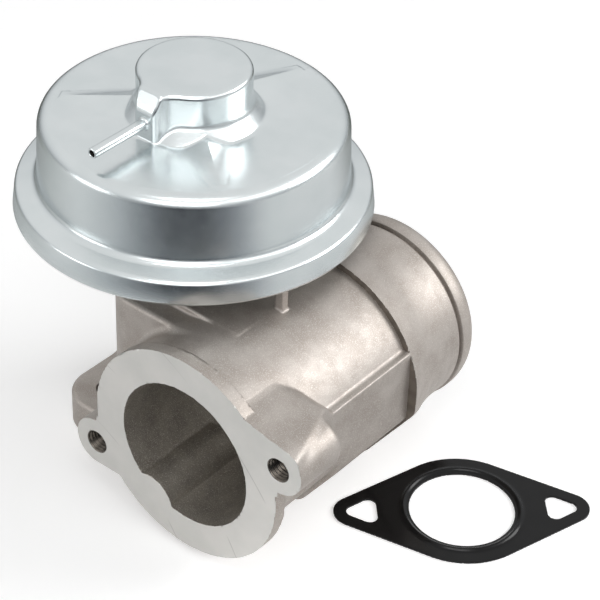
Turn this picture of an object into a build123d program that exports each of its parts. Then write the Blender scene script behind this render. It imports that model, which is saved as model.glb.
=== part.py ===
from build123d import *
from math import cos, radians, sin, sqrt
import os

os.makedirs("parts", exist_ok=True)

# Vacuum EGR valve, in millimetres.
# The origin is the centre of the exhaust inlet on the floor. The stem runs up Z.
# The main tube runs along Y beside the stem, and its intake flange faces -Y.

# Clearances
running_gap = 0.05
closed_gap = 0.3
loose_gap = 0.5

# Main tube
tube_x = 50.0
tube_z = 40.0
face_y = -61.0
bore_r = 26.0
body_r = 36.7
body_length = 71.3
rear_bore_r = 29.5
rear_bore_start = 78.0
tube_length = 111.0

# Intake flange and its two ears
ring_r = 38.0
ring_thick = 5.0
ear_x = 38.5
ear_z = 16.4
ear_r = 9.0
ear_angle = 34.0
tapped_r = 3.4
tapped_depth = 18.0
tapped_mouth_r = 4.1
boss_length = 21.0
web_top = 29.6
web_length = 31.0
boss_round = 2.5

# Flat side with its ledge, and the slanted flats below it
flat_cut = 1.6
ledge_z = 17.5
slant_angle = -35.0
slant_front_cut = 4.1
slant_rear_cut = 2.2
slant_step = 35.0

# Hose spigot
collar_r = 38.9
collar_length = 17.7
collar_flat_cut = 3.5
spigot_r = 33.8
groove_width = 1.3
bead_length = 7.5
groove_depth = 1.1
bead_r = 34.5
bead_end_r = 31.6
bead_round = 2.2

# Ridge inside the bore
ridge_x = -14.7
ridge_z = -26.8
ridge_r = 9.2
ridge_length = 34.0

# Valve column and outlet chamber
column_r = 27.0
chamber_front = 46.5
chamber_corner_r = 13.0
chamber_corner_x = 13.0
chamber_bottom = 4.0
chamber_round = 1.5
chamber_r = 20.0
chamber_roof = 50.0
window_width = 30.0
window_bottom = 23.0
window_height = 26.0

# Pad that carries the capsule
pad_r = 34.0
pad_front = 38.6
pad_thick = 2.4
lug_inset = 3.5
lug_angle = -19.04
lug_overhang = 2.9
lug_width = 3.4
lug_length = 3.0

# Exhaust inlet flange
inlet_r = 17.0
inlet_hole_x = 13.75
inlet_hole_y = 29.4
inlet_hole_r = 4.25
inlet_lobe_r = 12.7
inlet_hub_r = 26.0
inlet_flange_thick = 13.5
inlet_corner_x = 8.0
inlet_corner_y = -34.0
inlet_corner_r = 8.0
inlet_round = 1.5

# Valve seat and poppet
seat_thick = 7.0
seat_r = 11.5
seat_cone = 2.2
seat_base = 11.0
seat_shoulder = 1.0
poppet_rim = 2.0
poppet_hole_r = 2.8
poppet_neck_r = 6.0
poppet_neck = 3.0

# Stem and its guide
stem_r = 4.0
stem_thread_r = 3.0
guide_wall = 3.0
guide_length = 24.0
guide_depth = 8.7
shield_wall = 1.0
shield_r = 10.5
shield_skirt = 5.0
seal_r = 10.0
seal_thick = 4.5
seal_retainer_thick = 2.0
seal_retainer_hole_r = 6.0

# Capsule shells
sheet = 1.5
pad_gasket_thick = 1.0
rim_r = 60.2
rim_rise = 8.0
lip_width = 5.0
rim_round = 1.9
bead_thick = 3.9
crease_width = 1.0
crease_rise = 2.2
flange_width = 9.2
lid_rise = 34.6
shoulder_r = 4.5
foot_fillet = 3.0
lower_slope_width = 12.5
lower_flange_width = 9.7
lower_hole_r = 8.0
vent_r = 2.0
vent_circle_r = 31.0

# Dome, ribs and nipple
dome_r = 19.0
dome_height = 16.9
dome_round = 1.6
dome_foot_r = 23.2
dome_foot_height = 5.0
snout_reach = 24.0
snout_half_width = 4.6
snout_slope_run = 3.0
snout_slope_drop = 6.0
snout_flare_r = 5.0
snout_corner_r = 1.8
rib_angles = (-150.0, -38.0, 79.0)
rib_tip_margin = 6.5
rib_root_r = 19.0
rib_half_width = 8.0
rib_height = 3.2
nipple_r = 1.75
nipple_bore_r = 1.1
nipple_end = 47.6
nipple_rise = 6.3
nipple_start = 14.0
nipple_collar_r = 2.4
nipple_collar = 0.8

# Diaphragm and its plates
plate_margin = 22.2
plate_sheet = 1.5
plate_lip = 3.2
backing_gap = 2.4
skin = 1.2
shoulder_washer_r = 7.0
shoulder_washer_thick = 1.2
clamp_washer_r = 8.0
clamp_washer_thick = 1.2
nut_flats = 10.0
nut_thick = 5.0
stem_end_margin = 1.5
diaphragm_bead_width = 6.0

# Return spring
spring_r = 12.5
spring_wire_r = 1.3
spring_turns = 7
spring_cup_sheet = 1.2
spring_cup_r = 14.4
spring_cup_boss_r = 9.0
spring_cup_boss = 5.0

# Capsule screws
screw_circle_r = 20.0
screw_count = 3
screw_r = 2.5
screw_clearance = 0.3
screw_socket_flats = 3.0
screw_head_r = 4.6
screw_head = 1.8
screw_length = 12.0
screw_hole_margin = 2.0

# Loose gasket beside the valve
gasket_x = 108.4
gasket_y = 14.0
gasket_angle = 42.8
gasket_thick = 0.8
gasket_hole_r = 17.9
gasket_bead_r = 20.3
gasket_bead_width = 2.6
gasket_bead_height = 0.8
gasket_hub_r = 25.6
gasket_end_x = 36.5
gasket_end_r = 7.0
gasket_slot_in = 28.7
gasket_slot_out = 40.5
gasket_slot_half = 6.0
gasket_slot_round = 1.7

# Levels and places worked out from the sizes above
flat_x = body_r - flat_cut
slant_front = body_r - slant_front_cut
slant_rear = body_r - slant_rear_cut
collar_flat = collar_r - collar_flat_cut
pad_top = tube_z + body_r
chamber_top = pad_top - pad_thick
guide_top = pad_top - guide_depth
guide_bottom = guide_top - guide_length
rim_bottom = pad_top + rim_rise
lid_z = rim_bottom + lid_rise
drum_r = rim_r - flange_width
crease_r = drum_r + crease_width
rib_tip_r = drum_r - rib_tip_margin
plate_r = rim_r - plate_margin
collar_end = body_length + collar_length
groove_start = tube_length - bead_length - groove_width
lug_x = (rim_r - lug_inset) * cos(radians(lug_angle))
lug_y = (rim_r - lug_inset) * sin(radians(lug_angle))
pad_side = lug_x + lug_width / 2 - lug_overhang
lower_rise_r = rim_r - lower_flange_width
lower_flat_r = lower_rise_r - lower_slope_width
dome_top = lid_z + dome_height
nipple_z = lid_z + nipple_rise
capsule_base = pad_top + pad_gasket_thick
capsule_floor = capsule_base + sheet
backing_bottom = capsule_floor + backing_gap
lip_top = rim_bottom + sheet
bead_bottom = lip_top + sheet
bead_top = bead_bottom + bead_thick
rim_top = bead_top + sheet
crease_z = rim_top + crease_rise
diaphragm_bottom = backing_bottom + plate_sheet
cup_bottom = diaphragm_bottom + skin
cup_top = cup_bottom + plate_sheet
nut_bottom = cup_top + clamp_washer_thick
stem_shoulder = backing_bottom - shoulder_washer_thick
stem_top = nut_bottom + nut_thick + stem_end_margin
seat_top = seat_base + seat_thick
seat_outer_r = inlet_r + seat_shoulder
guide_r = stem_r + running_gap + guide_wall
hole_depth = screw_length + screw_hole_margin

flange_face = Plane(origin=(tube_x, face_y, tube_z), x_dir=(1, 0, 0), z_dir=(0, -1, 0))
tube_section = Plane(origin=(tube_x, face_y, tube_z), x_dir=(0, 1, 0), z_dir=(1, 0, 0))
tube_axis = Axis((tube_x, face_y, tube_z), (0, 1, 0))
half_turn = PolarLocations(0, 2)


def level(height):
    return Plane.XY.offset(height)


# Housing
web_x = sqrt(body_r**2 - web_top**2)
tangent_x = ear_x + ear_r * sin(radians(ear_angle))
tangent_z = ear_z - ear_r * cos(radians(ear_angle))
ear_reach = ear_r + ring_thick
ear_outline = (
    (web_x, ear_z + ear_r),
    (ear_x, ear_z + ear_r),
    (ear_x, ear_z),
    (tangent_x, tangent_z),
    (tangent_x - ear_reach * cos(radians(ear_angle)), tangent_z - ear_reach * sin(radians(ear_angle))),
)
web_outline = (
    (0, web_top),
    (web_x, web_top),
    (ear_x, ear_z + ear_r),
    (ear_x, ear_z),
    (0, 0),
)
flat_height = sqrt(body_r**2 - flat_x**2)

# Ear bosses behind the flange
with BuildPart() as bosses:
    with BuildSketch(flange_face):
        with Locations((ear_x, ear_z), (-ear_x, -ear_z)):
            Circle(ear_r)
        with half_turn:
            Polygon(*ear_outline, align=None)
    extrude(amount=-boss_length)
    fillet(bosses.faces().sort_by(Axis.Y)[-2:].edges(), boss_round)

# Column and outlet chamber under the capsule
with BuildPart() as chamber:
    with BuildSketch(level(chamber_bottom)):
        Circle(column_r)
        with Locations((chamber_corner_x, chamber_corner_r - chamber_front)):
            Circle(chamber_corner_r)
        make_hull()
        with Locations((chamber_corner_x, -chamber_front)):
            Rectangle(tube_x - chamber_corner_x, chamber_front + column_r, align=(Align.MIN, Align.MIN))
    extrude(amount=chamber_top - chamber_bottom)
    fillet(chamber.faces().sort_by(Axis.Z)[-1].edges(), chamber_round)

# Exhaust inlet flange with two lobes
with BuildPart() as inlet_flange:
    with BuildSketch(level(0)):
        Circle(inlet_hub_r)
        with Locations((-inlet_hole_x, -inlet_hole_y), (inlet_hole_x, inlet_hole_y)):
            Circle(inlet_lobe_r)
        with Locations((inlet_corner_x, inlet_corner_y)):
            Circle(inlet_corner_r)
        make_hull()
    extrude(amount=inlet_flange_thick)
    fillet(inlet_flange.faces().sort_by(Axis.Z)[-1].edges(), inlet_round)

# Hose spigot behind a tapered collar with a flat
with BuildPart() as spigot:
    with BuildSketch(tube_section):
        with BuildLine():
            Polyline(
                (body_length, 0),
                (body_length, collar_r),
                (collar_end, spigot_r),
                (groove_start, spigot_r),
                (groove_start, spigot_r - groove_depth),
                (groove_start + groove_width, spigot_r - groove_depth),
                (groove_start + groove_width, bead_r),
                (tube_length - bead_r + bead_end_r - bead_round, bead_r),
                (tube_length, bead_end_r),
                (tube_length, 0),
                close=True,
            )
        make_face()
    revolve(axis=tube_axis)
    with BuildSketch(flange_face.offset(-body_length)):
        with PolarLocations(collar_flat, 1, start_angle=slant_angle):
            Rectangle(collar_r, 2 * collar_r, align=(Align.MIN, Align.CENTER))
    extrude(amount=body_length - collar_end, mode=Mode.SUBTRACT)

# Body with its flat side, ledge and slanted flats
with BuildPart() as body:
    with BuildSketch(flange_face):
        Circle(body_r)
        with Locations((flat_x, 0)):
            Rectangle(body_r, 2 * body_r, align=(Align.MIN, Align.CENTER), mode=Mode.SUBTRACT)
        with Locations((0, -flat_height)):
            Rectangle(flat_x, ledge_z + flat_height, align=(Align.MIN, Align.MIN))
    extrude(amount=-body_length)
    for reach, end in ((slant_rear, body_length), (slant_front, slant_step)):
        with BuildSketch(flange_face):
            with PolarLocations(reach, 1, start_angle=slant_angle):
                Rectangle(body_r, 2 * body_r, align=(Align.MIN, Align.CENTER))
        extrude(amount=-end, mode=Mode.SUBTRACT)

with BuildPart() as housing:
    add((body.part, bosses.part, chamber.part, inlet_flange.part, spigot.part))

    # Intake flange
    with BuildSketch(flange_face):
        Circle(ring_r)
        with half_turn:
            Polygon(*ear_outline, align=None)
        with Locations((ear_x, ear_z), (-ear_x, -ear_z)):
            Circle(ear_r)
    extrude(amount=-ring_thick)

    # Web on the right
    with BuildSketch(flange_face):
        Polygon(*web_outline, align=None)
    extrude(amount=-boss_length)
    with BuildSketch(flange_face.offset(-boss_length)):
        Polygon(*web_outline, align=None)
    with BuildSketch(flange_face.offset(-web_length)):
        Polygon(
            (0, ledge_z),
            (flat_x - 2 * sheet, ledge_z),
            (flat_x, ledge_z - sheet),
            (flat_x, ledge_z - 2 * sheet),
            (0, 0),
            align=None,
        )
    loft()

    # Pad for the capsule
    with BuildSketch(level(chamber_top)):
        Circle(pad_r)
        with Locations((0, -pad_front)):
            Rectangle(pad_side, pad_front, align=(Align.MIN, Align.MIN))
    extrude(amount=pad_top - chamber_top)
    with BuildSketch(level(pad_top - sheet)):
        with Locations((lug_x, lug_y)):
            Rectangle(lug_width, lug_length)
    extrude(amount=rim_bottom - pad_top + sheet)

    # Main bore with the ridge left standing
    with BuildSketch(flange_face):
        Circle(bore_r)
        with Locations((ridge_x, ridge_z)):
            Circle(ridge_r, mode=Mode.SUBTRACT)
    extrude(amount=-ridge_length, mode=Mode.SUBTRACT)
    with BuildSketch(flange_face.offset(-ridge_length)):
        Circle(bore_r)
    extrude(amount=-tube_length, mode=Mode.SUBTRACT)
    with BuildSketch(flange_face.offset(-rear_bore_start)):
        Circle(rear_bore_r)
    extrude(amount=-tube_length, mode=Mode.SUBTRACT)

    # Inlet, chamber, window, guide and seal pocket
    with BuildSketch(level(0)):
        Circle(inlet_r)
    extrude(amount=seat_base, mode=Mode.SUBTRACT)
    with BuildSketch(level(seat_base)):
        Circle(seat_outer_r)
    extrude(amount=seat_thick, mode=Mode.SUBTRACT)
    with BuildSketch(level(seat_top)):
        Circle(chamber_r)
    extrude(amount=chamber_roof - seat_top, mode=Mode.SUBTRACT)
    with BuildSketch(level(window_bottom)):
        Rectangle(tube_x - bore_r / 2, window_width, align=(Align.MIN, Align.CENTER))
    extrude(amount=window_height, mode=Mode.SUBTRACT)
    with BuildSketch(level(chamber_roof)):
        Circle(guide_r)
    extrude(amount=guide_top - chamber_roof, mode=Mode.SUBTRACT)
    with BuildSketch(level(guide_top)):
        Circle(seal_r)
    extrude(amount=pad_top - guide_top, mode=Mode.SUBTRACT)

    # Holes
    with Locations(flange_face):
        with Locations((ear_x, ear_z), (-ear_x, -ear_z)):
            CounterSinkHole(tapped_r, tapped_mouth_r, depth=tapped_depth, counter_sink_angle=90)
    with Locations(level(inlet_flange_thick)):
        with Locations((-inlet_hole_x, -inlet_hole_y), (inlet_hole_x, inlet_hole_y)):
            Hole(inlet_hole_r, depth=inlet_flange_thick)
    with Locations(level(pad_top)):
        with PolarLocations(screw_circle_r, screw_count, start_angle=90):
            Hole(screw_r, depth=hole_depth)
housing.part.label = "housing"
export_step(housing.part, "parts/housing.step")


# Upper cover
def rib_section(radius, half_width, height, inset):
    with BuildSketch(Plane(origin=(radius, 0, lid_z - inset), x_dir=(0, 1, 0), z_dir=(1, 0, 0))) as section:
        with BuildLine():
            Polyline((half_width, 0), (half_width, -sheet), (-half_width, -sheet), (-half_width, 0))
            ThreePointArc((-half_width, 0), (0, height), (half_width, 0))
        make_face()
    return section.sketch


def rib(inset):
    tip = sheet / 4
    narrow = rib_half_width - inset
    shapes = (
        rib_section(rib_root_r, narrow, rib_height, inset),
        rib_section(rib_tip_r - inset, tip, tip / 2, inset),
    )
    return Solid.make_loft([shape.faces()[0].outer_wire() for shape in shapes])


def dome_outline(inset):
    with BuildSketch(level(lid_z - 2 * sheet)) as outline:
        Circle(dome_r - inset)
        Rectangle(2 * (snout_half_width - inset), snout_reach - inset, align=(Align.CENTER, Align.MAX))
        fillet(outline.vertices().group_by(Axis.Y)[1], snout_flare_r + inset)
        fillet(outline.vertices().group_by(Axis.Y)[0], snout_corner_r - inset)
    return outline.sketch


def dome_foot(inset):
    with BuildSketch(Plane.XZ) as foot:
        with BuildLine():
            Polyline(
                (dome_r - inset, lid_z + dome_foot_height - inset),
                (0, lid_z + dome_foot_height - inset),
                (0, lid_z - inset - sheet),
                (dome_foot_r + sheet, lid_z - inset - sheet),
                (dome_foot_r + sheet, lid_z - inset),
            )
            RadiusArc(
                (dome_foot_r + sheet, lid_z - inset),
                (dome_r - inset, lid_z + dome_foot_height - inset),
                dome_foot_height + sheet,
            )
        make_face()
    return foot.sketch


def dome_solid(inset):
    reach = snout_reach - inset
    top = dome_top - inset
    with BuildPart() as dome:
        add(dome_outline(inset))
        extrude(amount=top - lid_z + 2 * sheet)
        if not inset:
            fillet(dome.faces().sort_by(Axis.Z)[-1].edges(), dome_round)
        with BuildSketch(Plane.YZ):
            with BuildLine():
                Polyline(
                    (-reach, top - snout_slope_drop),
                    (snout_slope_run - reach, top),
                    (snout_slope_run - reach, top + sheet),
                    (-reach - sheet, top + sheet),
                    (-reach - sheet, top - snout_slope_drop),
                    close=True,
                )
            make_face()
        extrude(amount=snout_reach, both=True, mode=Mode.SUBTRACT)
    return dome.part


with BuildPart() as upper_cover:
    for inset, mode in ((0, Mode.ADD), (sheet, Mode.SUBTRACT)):
        # Drum, flange and rim
        with BuildSketch(Plane.XZ) as shell:
            with BuildLine():
                Polyline(
                    (0, lip_top if inset else rim_bottom),
                    (rim_r - inset, lip_top if inset else rim_bottom),
                    (rim_r - inset, rim_top - inset),
                    (crease_r - inset, crease_z - inset),
                    (drum_r - inset, lid_z - inset),
                    (0, lid_z - inset),
                    close=True,
                )
            make_face()
            fillet(shell.vertices().sort_by_distance((rim_r - inset, rim_top - inset))[0], rim_round - inset)
            fillet(shell.vertices().sort_by_distance((crease_r - inset, crease_z - inset))[0], foot_fillet)
            fillet(shell.vertices().sort_by_distance((drum_r - inset, lid_z - inset))[0], shoulder_r - inset)
        revolve(axis=Axis.Z, mode=mode)

        # Dome with its flared foot
        add(dome_solid(inset), mode=mode)
        add(dome_foot(inset))
        revolve(axis=Axis.Z, mode=mode)

        # Ribs pressed up from the lid
        for angle in rib_angles:
            add(rib(inset).rotate(Axis.Z, angle), mode=mode)

    # Mouth inside the rolled rim and the hole for the nipple
    with BuildSketch(level(rim_bottom)):
        Circle(rim_r - lip_width)
    extrude(amount=sheet, mode=Mode.SUBTRACT)
    with BuildSketch(Plane.XZ.offset(nipple_start)):
        with Locations((0, nipple_z)):
            Circle(nipple_collar_r)
    extrude(amount=snout_reach, mode=Mode.SUBTRACT)
upper_cover.part.label = "upper_cover"
export_step(upper_cover.part, "parts/upper_cover.step")

# Vacuum nipple with the collar that it is brazed in by
with BuildPart() as vacuum_nipple:
    with BuildSketch(Plane.XZ.offset(nipple_start)):
        with Locations((0, nipple_z)):
            Circle(nipple_collar_r)
    extrude(amount=snout_reach + nipple_collar - nipple_start)
    with BuildSketch(Plane.XZ.offset(nipple_start)):
        with Locations((0, nipple_z)):
            Circle(nipple_r)
    extrude(amount=nipple_end - nipple_start)
    with BuildSketch(Plane.XZ.offset(nipple_start)):
        with Locations((0, nipple_z)):
            Circle(nipple_bore_r)
    extrude(amount=nipple_end - nipple_start, mode=Mode.SUBTRACT)
vacuum_nipple.part.label = "vacuum_nipple"
export_step(vacuum_nipple.part, "parts/vacuum_nipple.step")

# Lower cover
rim_inner_r = rim_r - sheet
lower_flange_r = rim_inner_r - loose_gap
with BuildPart() as lower_cover:
    with BuildSketch(Plane.XZ) as dish:
        with BuildLine():
            Polyline(
                (lower_hole_r, capsule_base),
                (lower_flat_r, capsule_base),
                (lower_rise_r, lip_top),
                (lower_flange_r, lip_top),
                (lower_flange_r, bead_bottom),
                (lower_rise_r - sheet / 2, bead_bottom),
                (lower_flat_r - sheet / 2, capsule_floor),
                (lower_hole_r, capsule_floor),
                close=True,
            )
        make_face()
        fillet(dish.vertices().group_by(Axis.X)[2:4], sheet)
    revolve(axis=Axis.Z)
    with Locations(level(capsule_floor)):
        with PolarLocations(screw_circle_r, screw_count, start_angle=90):
            Hole(screw_r + screw_clearance)
        with PolarLocations(vent_circle_r, screw_count, start_angle=30):
            Hole(vent_r)
lower_cover.part.label = "lower_cover"
export_step(lower_cover.part, "parts/lower_cover.step")

# Gasket between casting and capsule
with BuildPart() as insulating_gasket:
    with BuildSketch(level(pad_top)):
        Circle(pad_r)
        Circle(lower_hole_r, mode=Mode.SUBTRACT)
        with PolarLocations(screw_circle_r, screw_count, start_angle=90):
            Circle(screw_r + screw_clearance, mode=Mode.SUBTRACT)
        with PolarLocations(vent_circle_r, screw_count, start_angle=30):
            Circle(vent_r, mode=Mode.SUBTRACT)
    extrude(amount=pad_gasket_thick)
insulating_gasket.part.label = "insulating_gasket"
export_step(insulating_gasket.part, "parts/insulating_gasket.step")

# Screws that hold the capsule on the casting
with BuildPart() as capsule_screws:
    with BuildSketch(level(capsule_floor)):
        with PolarLocations(screw_circle_r, screw_count, start_angle=90):
            Circle(screw_head_r)
    extrude(amount=screw_head)
    with BuildSketch(level(capsule_floor - screw_length)):
        with PolarLocations(screw_circle_r, screw_count, start_angle=90):
            Circle(screw_r)
    extrude(amount=screw_length)
    with BuildSketch(level(capsule_floor)):
        with PolarLocations(screw_circle_r, screw_count, start_angle=90):
            RegularPolygon(screw_socket_flats / 2, 6, major_radius=False)
    extrude(amount=screw_head, mode=Mode.SUBTRACT)
capsule_screws.part.label = "capsule_screws"
export_step(capsule_screws.part, "parts/capsule_screws.step")

# Valve seat with its conical face
with BuildPart() as valve_seat:
    with BuildSketch(Plane.XZ):
        with BuildLine():
            Polyline(
                (seat_r, seat_base),
                (seat_outer_r, seat_base),
                (seat_outer_r, seat_top),
                (seat_r + seat_cone, seat_top),
                (seat_r, seat_top - seat_cone),
                close=True,
            )
        make_face()
    revolve(axis=Axis.Z)
valve_seat.part.label = "valve_seat"
export_step(valve_seat.part, "parts/valve_seat.step")

# Poppet
poppet_bottom = seat_top - seat_cone + closed_gap
poppet_edge = poppet_bottom + seat_cone
poppet_top = poppet_edge + poppet_rim + poppet_neck
with BuildPart() as poppet:
    with BuildSketch(Plane.XZ):
        with BuildLine():
            Polyline(
                (poppet_hole_r, poppet_bottom),
                (seat_r, poppet_bottom),
                (seat_r + seat_cone, poppet_edge),
                (seat_r + seat_cone, poppet_edge + poppet_rim),
                (poppet_neck_r, poppet_top),
                (poppet_hole_r, poppet_top),
                close=True,
            )
        make_face()
    revolve(axis=Axis.Z)
poppet.part.label = "poppet"
export_step(poppet.part, "parts/poppet.step")

# Valve stem
with BuildPart() as valve_stem:
    with BuildSketch(Plane.XZ):
        with BuildLine():
            Polyline(
                (0, poppet_bottom),
                (poppet_hole_r, poppet_bottom),
                (poppet_hole_r, poppet_top),
                (stem_r, poppet_top),
                (stem_r, stem_shoulder),
                (stem_thread_r, stem_shoulder),
                (stem_thread_r, stem_top),
                (0, stem_top),
                close=True,
            )
        make_face()
    revolve(axis=Axis.Z)
    chamfer(valve_stem.faces().sort_by(Axis.Z)[-1].edges(), stem_thread_r / 6)
valve_stem.part.label = "valve_stem"
export_step(valve_stem.part, "parts/valve_stem.step")

# Guide bush
with BuildPart() as guide_bush:
    with BuildSketch(level(guide_bottom)):
        Circle(guide_r)
        Circle(stem_r + running_gap, mode=Mode.SUBTRACT)
    extrude(amount=guide_length)
guide_bush.part.label = "guide_bush"
export_step(guide_bush.part, "parts/guide_bush.step")

# Soot shield on the lower end of the bush
with BuildPart() as soot_shield:
    with BuildSketch(Plane.XZ):
        with BuildLine():
            Polyline(
                (stem_r + loose_gap, guide_bottom - shield_wall),
                (shield_r, guide_bottom - shield_wall),
                (shield_r, guide_bottom - shield_wall - shield_skirt),
                (shield_r + shield_wall, guide_bottom - shield_wall - shield_skirt),
                (shield_r + shield_wall, guide_bottom),
                (guide_r + shield_wall, guide_bottom),
                (guide_r + shield_wall, chamber_roof),
                (guide_r, chamber_roof),
                (guide_r, guide_bottom),
                (stem_r + loose_gap, guide_bottom),
                close=True,
            )
        make_face()
    revolve(axis=Axis.Z)
soot_shield.part.label = "soot_shield"
export_step(soot_shield.part, "parts/soot_shield.step")

# Stem seal and its retainer
seal_bottom = guide_top
seal_lip = stem_r + running_gap
with BuildPart() as stem_seal:
    with BuildSketch(Plane.XZ):
        with BuildLine():
            Polyline(
                (seal_lip + seal_thick / 3, seal_bottom),
                (seal_r, seal_bottom),
                (seal_r, seal_bottom + seal_thick),
                (seal_retainer_hole_r, seal_bottom + seal_thick),
                (seal_lip, seal_bottom + seal_thick * 2 / 3),
                (seal_lip, seal_bottom + seal_thick / 2),
                close=True,
            )
        make_face()
    revolve(axis=Axis.Z)
stem_seal.part.label = "stem_seal"
export_step(stem_seal.part, "parts/stem_seal.step")

with BuildPart() as seal_retainer:
    with BuildSketch(level(seal_bottom + seal_thick)):
        Circle(seal_r)
        Circle(seal_retainer_hole_r, mode=Mode.SUBTRACT)
    extrude(amount=seal_retainer_thick)
seal_retainer.part.label = "seal_retainer"
export_step(seal_retainer.part, "parts/seal_retainer.step")

# Plates, washers and nut on the stem
with BuildPart() as shoulder_washer:
    with BuildSketch(level(stem_shoulder)):
        Circle(shoulder_washer_r)
        Circle(stem_thread_r, mode=Mode.SUBTRACT)
    extrude(amount=shoulder_washer_thick)
shoulder_washer.part.label = "shoulder_washer"
export_step(shoulder_washer.part, "parts/shoulder_washer.step")

with BuildPart() as backing_plate:
    with BuildSketch(level(backing_bottom)):
        Circle(plate_r - plate_sheet)
        Circle(stem_thread_r, mode=Mode.SUBTRACT)
    extrude(amount=plate_sheet)
    fillet(backing_plate.edges().filter_by(GeomType.CIRCLE).group_by(SortBy.RADIUS)[-1], plate_sheet / 3)
backing_plate.part.label = "backing_plate"
export_step(backing_plate.part, "parts/backing_plate.step")

with BuildPart() as diaphragm_cup:
    with BuildSketch(Plane.XZ) as cup:
        with BuildLine():
            Polyline(
                (stem_thread_r, cup_bottom),
                (plate_r, cup_bottom),
                (plate_r, cup_top + plate_lip),
                (plate_r - plate_sheet, cup_top + plate_lip),
                (plate_r - plate_sheet, cup_top),
                (stem_thread_r, cup_top),
                close=True,
            )
        make_face()
        fillet(cup.vertices().sort_by_distance((plate_r, cup_bottom))[0], plate_sheet)
    revolve(axis=Axis.Z)
diaphragm_cup.part.label = "diaphragm_cup"
export_step(diaphragm_cup.part, "parts/diaphragm_cup.step")

with BuildPart() as clamp_washer:
    with BuildSketch(level(cup_top)):
        Circle(clamp_washer_r)
        Circle(stem_thread_r, mode=Mode.SUBTRACT)
    extrude(amount=clamp_washer_thick)
clamp_washer.part.label = "clamp_washer"
export_step(clamp_washer.part, "parts/clamp_washer.step")

with BuildPart() as clamp_nut:
    with BuildSketch(level(nut_bottom)):
        RegularPolygon(nut_flats / 2, 6, major_radius=False)
        Circle(stem_thread_r, mode=Mode.SUBTRACT)
    extrude(amount=nut_thick)
clamp_nut.part.label = "clamp_nut"
export_step(clamp_nut.part, "parts/clamp_nut.step")

# Diaphragm with its rolling fold
bead_outer_r = rim_inner_r - loose_gap
bead_inner_r = bead_outer_r - diaphragm_bead_width
bead_middle = (bead_bottom + bead_top) / 2
fold_start = plate_r + skin
with BuildPart() as diaphragm:
    with BuildSketch(Plane.XZ):
        with BuildLine():
            Line((stem_thread_r + closed_gap, diaphragm_bottom), (fold_start, diaphragm_bottom))
            Spline(
                (fold_start, diaphragm_bottom),
                (bead_inner_r, bead_middle - skin / 2),
                tangents=((1, 0), (1, 0)),
            )
            Polyline(
                (bead_inner_r, bead_middle - skin / 2),
                (bead_inner_r, bead_bottom),
                (bead_outer_r, bead_bottom),
                (bead_outer_r, bead_top),
                (bead_inner_r, bead_top),
                (bead_inner_r, bead_middle + skin / 2),
            )
            Spline(
                (bead_inner_r, bead_middle + skin / 2),
                (fold_start, cup_bottom),
                tangents=((-1, 0), (-1, 0)),
            )
            Polyline(
                (fold_start, cup_bottom),
                (stem_thread_r + closed_gap, cup_bottom),
                (stem_thread_r + closed_gap, diaphragm_bottom),
            )
        make_face()
    revolve(axis=Axis.Z)
diaphragm.part.label = "diaphragm"
export_step(diaphragm.part, "parts/diaphragm.step")

# Spring seat in the dome and the return spring
spring_top = dome_top - sheet - spring_cup_sheet
with BuildPart() as spring_seat:
    with BuildSketch(Plane.XZ):
        with BuildLine():
            Polyline(
                (spring_cup_boss_r - spring_cup_sheet, spring_top - spring_cup_boss),
                (spring_cup_boss_r, spring_top - spring_cup_boss),
                (spring_cup_boss_r, spring_top),
                (spring_cup_r, spring_top),
                (spring_cup_r, spring_top + spring_cup_sheet),
                (spring_cup_boss_r - spring_cup_sheet, spring_top + spring_cup_sheet),
                close=True,
            )
        make_face()
    revolve(axis=Axis.Z)
spring_seat.part.label = "spring_seat"
export_step(spring_seat.part, "parts/spring_seat.step")

spring_length = spring_top - cup_top
with BuildPart() as return_spring:
    with BuildLine(level(cup_top)):
        Helix(spring_length / spring_turns, spring_length, spring_r)
    with BuildSketch(Plane(origin=(spring_r, 0, cup_top), x_dir=(1, 0, 0), z_dir=(0, 1, 0))):
        Circle(spring_wire_r)
    sweep(is_frenet=True)
    with BuildSketch(level(cup_top)):
        Circle(2 * spring_r)
    extrude(amount=spring_length, mode=Mode.INTERSECT)
return_spring.part.label = "return_spring"
export_step(return_spring.part, "parts/return_spring.step")

# Loose gasket for the exhaust inlet, lying beside the valve
gasket_plane = Plane(origin=(gasket_x, gasket_y, 0)).rotated((0, 0, gasket_angle))
with BuildPart() as egr_gasket:
    with BuildSketch(gasket_plane) as gasket_outline:
        Circle(gasket_hub_r)
        with Locations((-gasket_end_x, 0), (gasket_end_x, 0)):
            Circle(gasket_end_r)
        make_hull()
        Circle(gasket_hole_r, mode=Mode.SUBTRACT)
    extrude(amount=gasket_thick)
    with BuildSketch(gasket_plane) as slots:
        with half_turn:
            Polygon(
                (gasket_slot_out, 0),
                (gasket_slot_in, gasket_slot_half),
                (gasket_slot_in, -gasket_slot_half),
                align=None,
            )
        fillet(slots.vertices(), gasket_slot_round)
    extrude(amount=gasket_thick, mode=Mode.SUBTRACT)
    with BuildSketch(Plane(origin=(gasket_x, gasket_y, 0), x_dir=(1, 0, 0), z_dir=(0, -1, 0))):
        with BuildLine():
            bead_start = (gasket_bead_r - gasket_bead_width / 2, gasket_thick)
            bead_end = (gasket_bead_r + gasket_bead_width / 2, gasket_thick)
            bead_peak = (gasket_bead_r, gasket_thick + gasket_bead_height)
            ThreePointArc(bead_start, bead_peak, bead_end)
            Line(bead_end, bead_start)
        make_face()
    revolve(axis=Axis((gasket_x, gasket_y, 0), (0, 0, 1)))
egr_gasket.part.label = "egr_gasket"
export_step(egr_gasket.part, "parts/egr_gasket.step")
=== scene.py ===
from math import cos, pi, radians, sin, sqrt, tan

import bmesh
import bpy
import numpy as np
from mathutils import Matrix, Vector


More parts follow.
